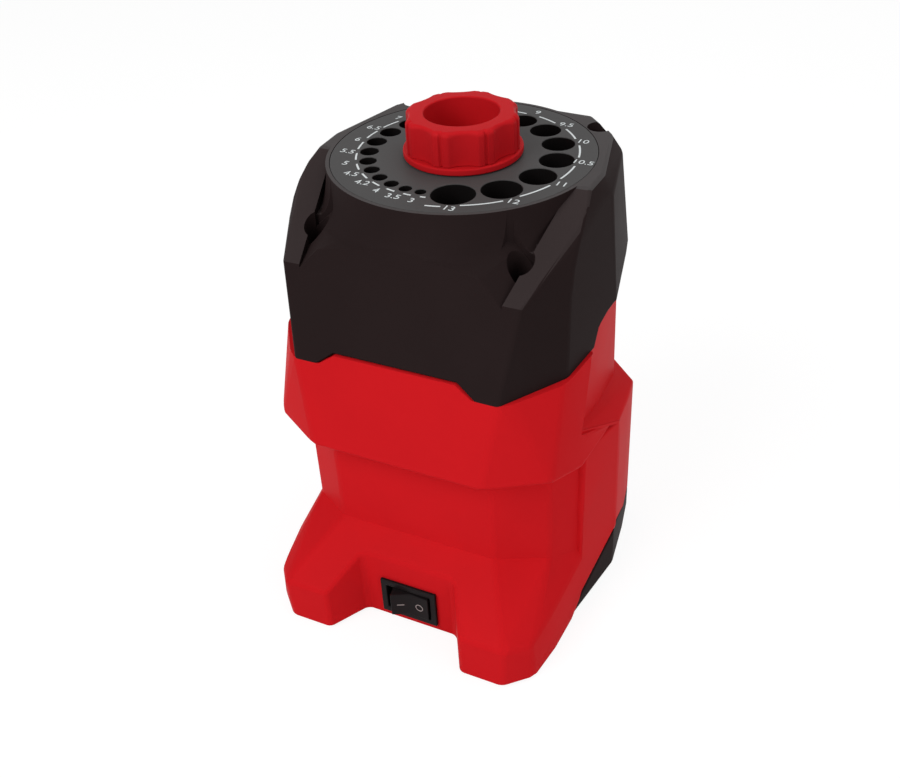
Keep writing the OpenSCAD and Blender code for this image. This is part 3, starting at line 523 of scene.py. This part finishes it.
def on_housing_outside(edge):
    """Is true for an outer edge of the housing or the base that is rounded."""
    place = midpoint(edge)
    at_ledge = abs(place.x) < LEDGE_X and place.y < LEDGE_Y and place.z > LEDGE_Z
    at_switch = abs(place.x) < OPENING_X and place.y < OPENING_Y and place.z < OPENING_Z
    return ((edge.calc_length() > HOUSING_SHORTEST * MM or at_ledge) and not at_switch
            and CORNER < edge.calc_face_angle_signed(0) < HOUSING_BLUNTEST and place.xy.length > INNER_WALL_R
            and HOUSING_FOOT_Z < place.z < HOUSING_TOP_Z and abs(place.y) > OUTSIDE_SEAM_Y)


def on_housing_seam(edge):
    """Is true for an edge along the seam between the housing's halves."""
    place = midpoint(edge)
    return (edge.calc_length() > SEAM_SHORTEST * MM and edge.calc_face_angle_signed(0) > SEAM_CORNER
            and place.xy.length > INNER_WALL_R and SEAM_FOOT_Z < place.z < HOUSING_TOP_Z
            and abs(place.y) < SEAM_Y and abs(place.x) > SEAM_X)


def on_dial_face(edge):
    """Is true for an edge where the dial's face meets its rim or a hole."""
    place = midpoint(edge)
    return (edge.calc_face_angle(0) > DIAL_CORNER and place.z > DIAL_Z / MM - DIAL_NEAR
            and place.xy.length > BEARING_R)


def on_switch(edge):
    """Is true for a corner of the switch's frame or rocker."""
    return edge.calc_face_angle(0) > SWITCH_CORNER


def on_land_painted_light(face):
    """Is true for the level land round the dial, which is painted lighter as light from above shows it."""
    return face.normal.z > UPWARD and face.calc_center_median().z > DIAL_Z - LAND_DEPTH * MM


def on_strip_painted_light(face):
    """Is true for the strips that run down from the land, beside the screw wells, which are painted lighter
    as light from above shows them.
    """
    middle = face.calc_center_median()
    return (UPWARD < face.normal.z < LEVEL and middle.z > DIAL_Z - STRIP_DEPTH * MM
            and abs(middle.x) > STRIP_X * MM)


def finished(name, shell, finish, body, replaced=(), others=None):
    """Turns a bmesh into a piece that rides on its body.

    Others are further finishes, each with a test that picks its faces.
    """
    others = others or {}
    tests = list(enumerate(others.values(), 1))
    mesh = bpy.data.meshes.new(name)
    bmesh.ops.recalc_face_normals(shell, faces=shell.faces)
    for face in shell.faces:
        face.smooth = True
        face.material_index = next((number for number, test in tests if test(face)), 0)
    for edge in shell.edges:
        edge.smooth = edge.calc_face_angle(0) < SMOOTH
    shell.to_mesh(mesh)
    shell.free()
    piece = bpy.data.objects.new(name, mesh)
    bpy.context.scene.collection.objects.link(piece)
    for key in [finish, *others]:
        mesh.materials.append(finishes()[key])
    # Large faces keep their own direction, so that only the rounded edges shade softly
    even = piece.modifiers.new("flat faces", "WEIGHTED_NORMAL")
    even.keep_sharp = True
    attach(piece, body)
    if replaced:
        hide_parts(*replaced)
    return piece


# ---- Print ----

def hole_angles():
    """Angle of each guide hole's centre from the front, clockwise as negative, by the rule that spaces them.

    The walls between neighbouring holes are all equally wide.
    """
    wide = [size + HOLE_PLAY for size in SIZES]
    wall = (math.pi * HOLE_CIRCLE - sum(wide)) / len(wide)
    angles = [HOLE_START]
    for before, after in zip(wide, wide[1:]):
        angles.append(angles[-1] - math.degrees(((before + after) / 2 + wall) / (HOLE_CIRCLE / 2)))
    return angles


def label_room(size):
    """Angle that the lines leave free on each side of a number's middle, in degrees."""
    if size < 8:
        return 2.8
    return 5.0 if size in (9.5, 10.5) else 4.2


def on_dial(radius, angle):
    """A point on the dial's face."""
    turn = math.radians(angle)
    return Vector((radius * math.sin(turn) * MM, SPINDLE_Y - radius * math.cos(turn) * MM, DIAL_Z))


def letter(shell, text, middle):
    """Adds a number, printed flat and upright, to a bmesh."""
    curve = bpy.data.curves.new("lettering", "FONT")
    curve.body = text
    curve.extrude = INK * MM
    curve.resolution_u = 4
    holder = bpy.data.objects.new("lettering", curve)
    bpy.context.scene.collection.objects.link(holder)
    flat = bpy.data.meshes.new_from_object(holder.evaluated_get(bpy.context.evaluated_depsgraph_get()))
    bpy.data.objects.remove(holder)
    low = Vector([min(v.co[i] for v in flat.vertices) for i in range(3)])
    high = Vector([max(v.co[i] for v in flat.vertices) for i in range(3)])
    size = LABEL_HEIGHT * MM / (high.y - low.y)
    flat.transform(Matrix.Translation(middle) @ Matrix.Diagonal((size * LABEL_WIDTH, size, 1, 1))
                   @ Matrix.Translation(-(low + high) / 2))
    shell.from_mesh(flat)
    bpy.data.meshes.remove(flat)


def arc(shell, radius, start, end):
    """Adds a printed line that follows the dial's rim to a bmesh."""
    below = Vector((0, 0, INK * MM))
    ends = [shell.verts.new(on_dial(radius + side * LINE_WIDTH / 2, start) - below) for side in (-1, 1)]
    across = shell.edges.new(ends)
    before = len(shell.faces)
    bmesh.ops.spin(shell, geom=[across] + ends, cent=(0, SPINDLE_Y, 0), axis=(0, 0, 1), dvec=(0, 0, 0),
                   angle=math.radians(end - start), steps=max(2, round(abs(end - start) / LINE_STEP)),
                   use_merge=False, use_normal_flip=False, use_duplicate=False)
    strip = list(shell.faces)[before:]
    raised = bmesh.ops.extrude_face_region(shell, geom=strip, use_keep_orig=True)["geom"]
    bmesh.ops.translate(shell, vec=2 * below, verts=verts_of(raised))


# ---- Knob ----

def quarter(height, distance, radius, first, turn=90):
    """Heights and distances of points on a quarter circle."""
    angles = [math.radians(first + turn * i / CORNER_STEPS) for i in range(CORNER_STEPS + 1)]
    return [(height + radius * math.sin(a), distance + radius * math.cos(a)) for a in angles]


def cutter_reach(middle, radius, off, outside):
    """Distance at which a round cutter leaves the wall, at an angle off its middle.

    Where the cutter misses, that is the outside.
    """
    across = middle * math.sin(off)
    if abs(across) >= radius:
        return outside
    return middle * math.cos(off) - math.sqrt(radius ** 2 - across ** 2)


def softened(first, second, softness):
    """The smaller of two distances, with the corner between them rounded."""
    near = max(softness - abs(first - second), 0)
    return min(first, second) - near ** 2 / softness / 4


def grip_dip(size, angle, outside):
    """How far the hollows and grooves take the wall in from the grip's round, at an angle."""
    step = 2 * math.pi / size.hollows
    off = (angle - size.start + step / 2) % step - step / 2
    middle = size.grip + size.hollow_radius - size.hollow_depth
    hollow = cutter_reach(middle, size.hollow_radius, off, outside)
    groove = cutter_reach(size.grip, size.groove, step / 2 - abs(off), outside)
    return size.grip - softened(softened(size.grip, hollow, size.ridge), groove, size.ridge)


def knob_rings(size, flange, top):
    """Height and distance of each ring of the knob, from the flange's foot over the top and into the cup.

    The third number is the share of the hollows' depth that the ring has.
    """
    rim = quarter(size.lip, flange - size.lip, size.lip, -90)
    rim += quarter(size.flange - size.lip, flange - size.lip, size.lip, 0)
    neck = [(size.flange, size.grip - size.seam), (size.flange + size.seam, size.grip - size.seam),
            (size.flange + size.seam, size.grip)]
    shoulder = quarter(top - size.edge, size.grip - size.edge, size.edge, 0)
    cup = quarter(top - size.lip, size.cup + size.lip, size.lip, 90)
    cup += quarter(top - size.depth + size.edge, size.cup - size.edge, size.edge, 0, -90)
    rings = [(height, distance, 0) for height, distance in rim]
    rings += [(height, distance, 1) for height, distance in neck]
    rings += [(height, distance, 1 - size.fade * i / CORNER_STEPS)
              for i, (height, distance) in enumerate(shoulder)]
    rings += [(height, distance, 0) for height, distance in cup]
    return rings


def knob_bearing(size, foot):
    """The knob's bearing in the dial, as packed, capped a little way up inside the flange."""
    shell = merged_copy("wear_knob")
    above = [face for face in shell.faces if min(vert.co.z for vert in face.verts) > foot - 0.01 * MM]
    bmesh.ops.delete(shell, geom=above, context="FACES")
    raised = bmesh.ops.extrude_edge_only(shell, edges=open_edges(shell))["geom"]
    bmesh.ops.translate(shell, vec=(0, 0, size.gap), verts=verts_of(raised))
    bmesh.ops.edgeloop_fill(shell, edges=open_edges(shell))
    return shell


# ---- Marks on the rocker ----

def face_place(face):
    """A place on a face: its middle, with Z outwards and Y upwards."""
    side = Vector((0, 0, 1)).cross(face.normal).normalized()
    place = Matrix((side, face.normal.cross(side), face.normal)).transposed().to_4x4()
    place.translation = face.calc_center_median()
    return place


def bar_mark(place):
    """The line that stands for on."""
    mark = bmesh.new()
    bmesh.ops.create_cube(mark, size=1, matrix=place @ Matrix.Diagonal([side * MM for side in BAR] + [1]))
    return mark


def ring_mark(place):
    """The circle that stands for off: a thin wire, half sunk in the face."""
    mark = bmesh.new()
    upright = Matrix.Rotation(math.radians(90), 4, "X") @ Matrix.Rotation(math.radians(45), 4, "Z")
    bmesh.ops.create_circle(mark, segments=4, radius=RING_LINE_R * MM,
                            matrix=place @ Matrix.Translation((RING_R * MM, 0, 0)) @ upright)
    bmesh.ops.spin(mark, geom=mark.verts[:] + mark.edges[:], cent=place.translation, axis=place.col[2].xyz,
                   dvec=(0, 0, 0), angle=2 * math.pi, steps=40, use_merge=True, use_normal_flip=False,
                   use_duplicate=False)
    return mark


# ---- Stage ----

def lay_floor(scene):
    """A matte white floor that keeps the object's shadow and is white to the camera."""
    grid = bmesh.new()
    bmesh.ops.create_grid(grid, x_segments=1, y_segments=1, size=4)
    mesh = bpy.data.meshes.new("floor")
    grid.to_mesh(mesh)
    grid.free()
    plane = bpy.data.objects.new("floor", mesh)
    scene.collection.objects.link(plane)
    material, output, place = blank("Studio floor, matte white")
    seen = plain_sight(material)
    glow = add(material, "ShaderNodeEmission", {"Color": (1, 1, 1, 1), "Strength": FLOOR_GLOW})
    paint = add(material, "ShaderNodeBsdfDiffuse", {"Color": linear("#f2f2f2")})
    share = add(material, "ShaderNodeMath", {"operation": "MULTIPLY", 1: FLOOR_GLOW_SHARE}, {0: seen})
    mixed = add(material, "ShaderNodeMixShader", {},
                {0: share.outputs[0], 1: paint.outputs[0], 2: glow.outputs[0]})
    material.node_tree.links.new(mixed.outputs[0], output.inputs["Surface"])
    mesh.materials.append(material)


def light_world(scene):
    """A soft daylight on the object, in front of a white backdrop."""
    world = bpy.data.worlds.new("studio")
    scene.world = world
    world.use_nodes = True
    world.node_tree.nodes.clear()
    daylight = add(world, "ShaderNodeBackground", {"Strength": DAYLIGHT})
    backdrop = add(world, "ShaderNodeBackground", {"Color": (1, 1, 1, 1), "Strength": 1.0})
    sky = add(world, "ShaderNodeMixShader", {},
              {0: plain_sight(world), 1: daylight.outputs[0], 2: backdrop.outputs[0]})
    add(world, "ShaderNodeOutputWorld", {}, {"Surface": sky.outputs[0]})


def set_lamps(scene):
    """Three soft boxes that face the object."""
    for name, place, size, power in LAMPS:
        lamp = bpy.data.lights.new(name, "AREA")
        lamp.size = size
        lamp.energy = power
        light = bpy.data.objects.new(name, lamp)
        light.location = place
        light.rotation_euler = (Vector(LAMP_TARGET) - Vector(place)).to_track_quat("-Z", "Y").to_euler()
        scene.collection.objects.link(light)


def set_camera(scene):
    """A camera to the front right of the object, that looks down on it."""
    lens = bpy.data.cameras.new("camera")
    lens.lens = CAMERA_LENS
    lens.sensor_width = CAMERA_SENSOR
    camera = bpy.data.objects.new("camera", lens)
    place = Vector(CAMERA_PLACE) * MM + Vector((0, SPINDLE_Y, 0))
    camera.matrix_world = (Matrix.Translation(place) @ Matrix.Rotation(math.radians(CAMERA_RIGHT), 4, "Z")
                           @ Matrix.Rotation(math.radians(90 - CAMERA_DOWN), 4, "X")
                           @ Matrix.Rotation(math.radians(CAMERA_ROLL), 4, "Z"))
    scene.collection.objects.link(camera)
    scene.camera = camera


# ---- Operators ----

class MakeTopCover(bpy.types.Operator):
    """Rounds the edges of the top cover"""
    bl_idname = "sharpener.top_cover"
    bl_label = "Top cover"

    def execute(self, context):
        shell = merged_copy("top_cover")
        round_edges(shell, context.scene.sharpener_edges.cover, on_cover_skirt)
        # The land and the strips get painted light: lighter, greyer colours on these upward faces
        finished("top_cover_shell", shell, "cover", "housing", ["top_cover"],
                 others={"land": on_land_painted_light, "strip": on_strip_painted_light})
        return {"FINISHED"}


class MakeHousing(bpy.types.Operator):
    """Rounds the edges of the housing halves and the base"""
    bl_idname = "sharpener.housing"
    bl_label = "Housing"

    def execute(self, context):
        radii = context.scene.sharpener_edges
        for node, name, finish, slot, radius in (
                ("front_housing", "front_housing_shell", "housing", "red_plastic", radii.housing),
                ("rear_cover", "rear_cover_shell", "housing", "red_plastic", radii.cover),
                ("base_cover", "base_shell", "cover", "black_plastic", radii.cover)):
            shell = merged_copy(node)
            round_edges(shell, radius, on_housing_outside)
            round_edges(shell, radii.seam, on_housing_seam, segments=1)
            finished(name, shell, finish, "housing", [node])
        return {"FINISHED"}


class MakeDial(bpy.types.Operator):
    """Breaks the edges of the guide dial and of its holes"""
    bl_idname = "sharpener.dial"
    bl_label = "Guide dial"

    def execute(self, context):
        radii = context.scene.sharpener_edges
        shell = merged_copy("guide_dial")
        round_edges(shell, radii.small * DIAL_SHARE, on_dial_face, segments=2)
        # Faces below the dial's face take the painted shade of the bores
        finished("guide_dial_shell", shell, "dial", "housing", ["guide_dial"],
                 others={"bore": lambda face: face.calc_center_median().z < DIAL_Z - radii.small})
        return {"FINISHED"}


class MakePrint(bpy.types.Operator):
    """Prints the sizes and the lines between them on the dial"""
    bl_idname = "sharpener.print"
    bl_label = "Printed sizes"

    def execute(self, context):
        angles = hole_angles()
        numbers = bmesh.new()
        for size, radius, angle in zip(SIZES, LABEL_R, angles):
            letter(numbers, f"{size:g}", on_dial(radius, angle))
        finished("dial_numbers", numbers, "print", "housing")

        lines = bmesh.new()
        holes = list(zip(SIZES, angles))
        for i, ((size, angle), (next_size, next_angle)) in enumerate(zip(holes, holes[1:])):
            beside = HOLE_CIRCLE / 2 + (size + next_size) / 4 + HOLE_PLAY / 2 + LINE_GAP
            arc(lines, max(LINE_R + LINE_DRIFT * i, beside), angle - label_room(size),
                next_angle + label_room(next_size))
        arc(lines, *FIRST_DASH)
        arc(lines, *LAST_LINE)
        finished("dial_lines", lines, "print", "housing")
        return {"FINISHED"}


class MakeKnob(bpy.types.Operator):
    """Lofts the wear knob's grip, with its finger hollows, thin grooves and cup"""
    bl_idname = "sharpener.knob"
    bl_label = "Wear knob"

    def execute(self, context):
        size = context.scene.sharpener_knob
        low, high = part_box("wear_knob")
        flange = (high.x - low.x) / 2
        foot = DIAL_Z + size.gap
        shell = knob_bearing(size, foot)
        loop = bmesh.ops.create_circle(shell, cap_ends=True, segments=size.segments, radius=flange,
                                       matrix=Matrix.Translation((0, SPINDLE_Y, 0)))["verts"]
        edges = list({edge for vert in loop for edge in vert.link_edges})
        for number, (height, distance, share) in enumerate(knob_rings(size, flange, high.z - foot)):
            if number:
                grown = bmesh.ops.extrude_edge_only(shell, edges=edges)["geom"]
                edges = edges_of(grown)
                loop = verts_of(grown)
            for vert in loop:
                angle = math.atan2(vert.co.y - SPINDLE_Y, vert.co.x)
                reach = distance - share * grip_dip(size, angle, flange)
                vert.co = (reach * math.cos(angle), SPINDLE_Y + reach * math.sin(angle), foot + height)
        bmesh.ops.edgeloop_fill(shell, edges=edges)
        finished("wear_knob_shell", shell, "knob", "knob", ["wear_knob"])
        return {"FINISHED"}


class MakeSwitch(bpy.types.Operator):
    """Rounds the switch frame and its rocker, and prints the line and the circle on the rocker"""
    bl_idname = "sharpener.switch"
    bl_label = "Rocker switch"

    def execute(self, context):
        for node, body in (("switch_frame", "housing"), ("switch_rocker", "rocker")):
            shell = merged_copy(node)
            round_edges(shell, context.scene.sharpener_edges.small, on_switch)
            finished(node + "_shell", shell, "switch", body, [node])
        # The rocker's two front faces, from left to right
        rocker = merged_copy("switch_rocker")
        fronts = sorted((face for face in rocker.faces if face.normal.y < -0.8),
                        key=lambda face: face.calc_center_median().x)
        for name, mark in (("on_mark", bar_mark(face_place(fronts[0]))),
                           ("off_mark", ring_mark(face_place(fronts[-1])))):
            finished(name, mark, "mark", "rocker")
        rocker.free()
        return {"FINISHED"}


class MakeInside(bpy.types.Operator):
    """Gives the pieces that stay as packed their finishes"""
    bl_idname = "sharpener.inside"
    bl_label = "Inner pieces"

    def execute(self, context):
        ready = finishes()
        for finish, nodes in {
                "steel": ("knob_clip", "lift_screw", "lift_pins", "stone_bearing", "stone_hub", "stone_ring",
                          "upper_bearing", "lower_bearing", "rotor_shaft"),
                "screw": ("cover_screws", "housing_screws", "base_screws", "motor_bolts", "capacitor_clip"),
                "brass": ("lift_nut",),
                "contact": ("switch_terminals",),
                "stone": ("grinding_stone",),
                "bracket": ("upper_bracket", "lower_bracket"),
                "iron": ("stator_core", "rotor_core"),
                "copper": ("stator_windings",),
                "case": ("run_capacitor",),
                "ivory": ("terminal_block",),
                "fan": ("cooling_fan",),
                "cover": ("grit_shield", "cord_gland"),
                "rubber": ("rubber_feet",)}.items():
            for node in nodes:
                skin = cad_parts[node].data.materials
                skin.clear()
                skin.append(ready[finish])
        return {"FINISHED"}


class MakeStage(bpy.types.Operator):
    """Sets the floor, the lamps and the camera"""
    bl_idname = "sharpener.stage"
    bl_label = "Stage"

    def execute(self, context):
        lay_floor(context.scene)
        light_world(context.scene)
        set_lamps(context.scene)
        set_camera(context.scene)
        context.scene.view_settings.view_transform = "Standard"
        return {"FINISHED"}


class SharpenerPanel(bpy.types.Panel):
    """Lists the steps that make the sharpener"""
    bl_idname = "VIEW3D_PT_sharpener"
    bl_label = "Sharpener"
    bl_space_type = "VIEW_3D"
    bl_region_type = "UI"
    bl_category = "Sharpener"

    def draw(self, context):
        for step in STEPS:
            self.layout.operator(step.bl_idname)


STEPS = (MakeTopCover, MakeHousing, MakeDial, MakePrint, MakeKnob, MakeSwitch, MakeInside, MakeStage)
CLASSES = (Finishes, Edges, Knob) + STEPS + (SharpenerPanel,)


def register():
    """Makes the classes and the scene's settings known to Blender."""
    for item in CLASSES:
        bpy.utils.register_class(item)
    bpy.types.Scene.sharpener_looks = bpy.props.PointerProperty(type=Finishes)
    bpy.types.Scene.sharpener_edges = bpy.props.PointerProperty(type=Edges)
    bpy.types.Scene.sharpener_knob = bpy.props.PointerProperty(type=Knob)


def unregister():
    """Takes the settings and the classes out again, in reverse order."""
    del bpy.types.Scene.sharpener_knob
    del bpy.types.Scene.sharpener_edges
    del bpy.types.Scene.sharpener_looks
    for item in reversed(CLASSES):
        bpy.utils.unregister_class(item)


def main():
    """Makes every piece in order."""
    register()
    for step in STEPS:
        group, name = step.bl_idname.split(".")
        getattr(getattr(bpy.ops, group), name)()


if __name__ == "__main__":
    main()
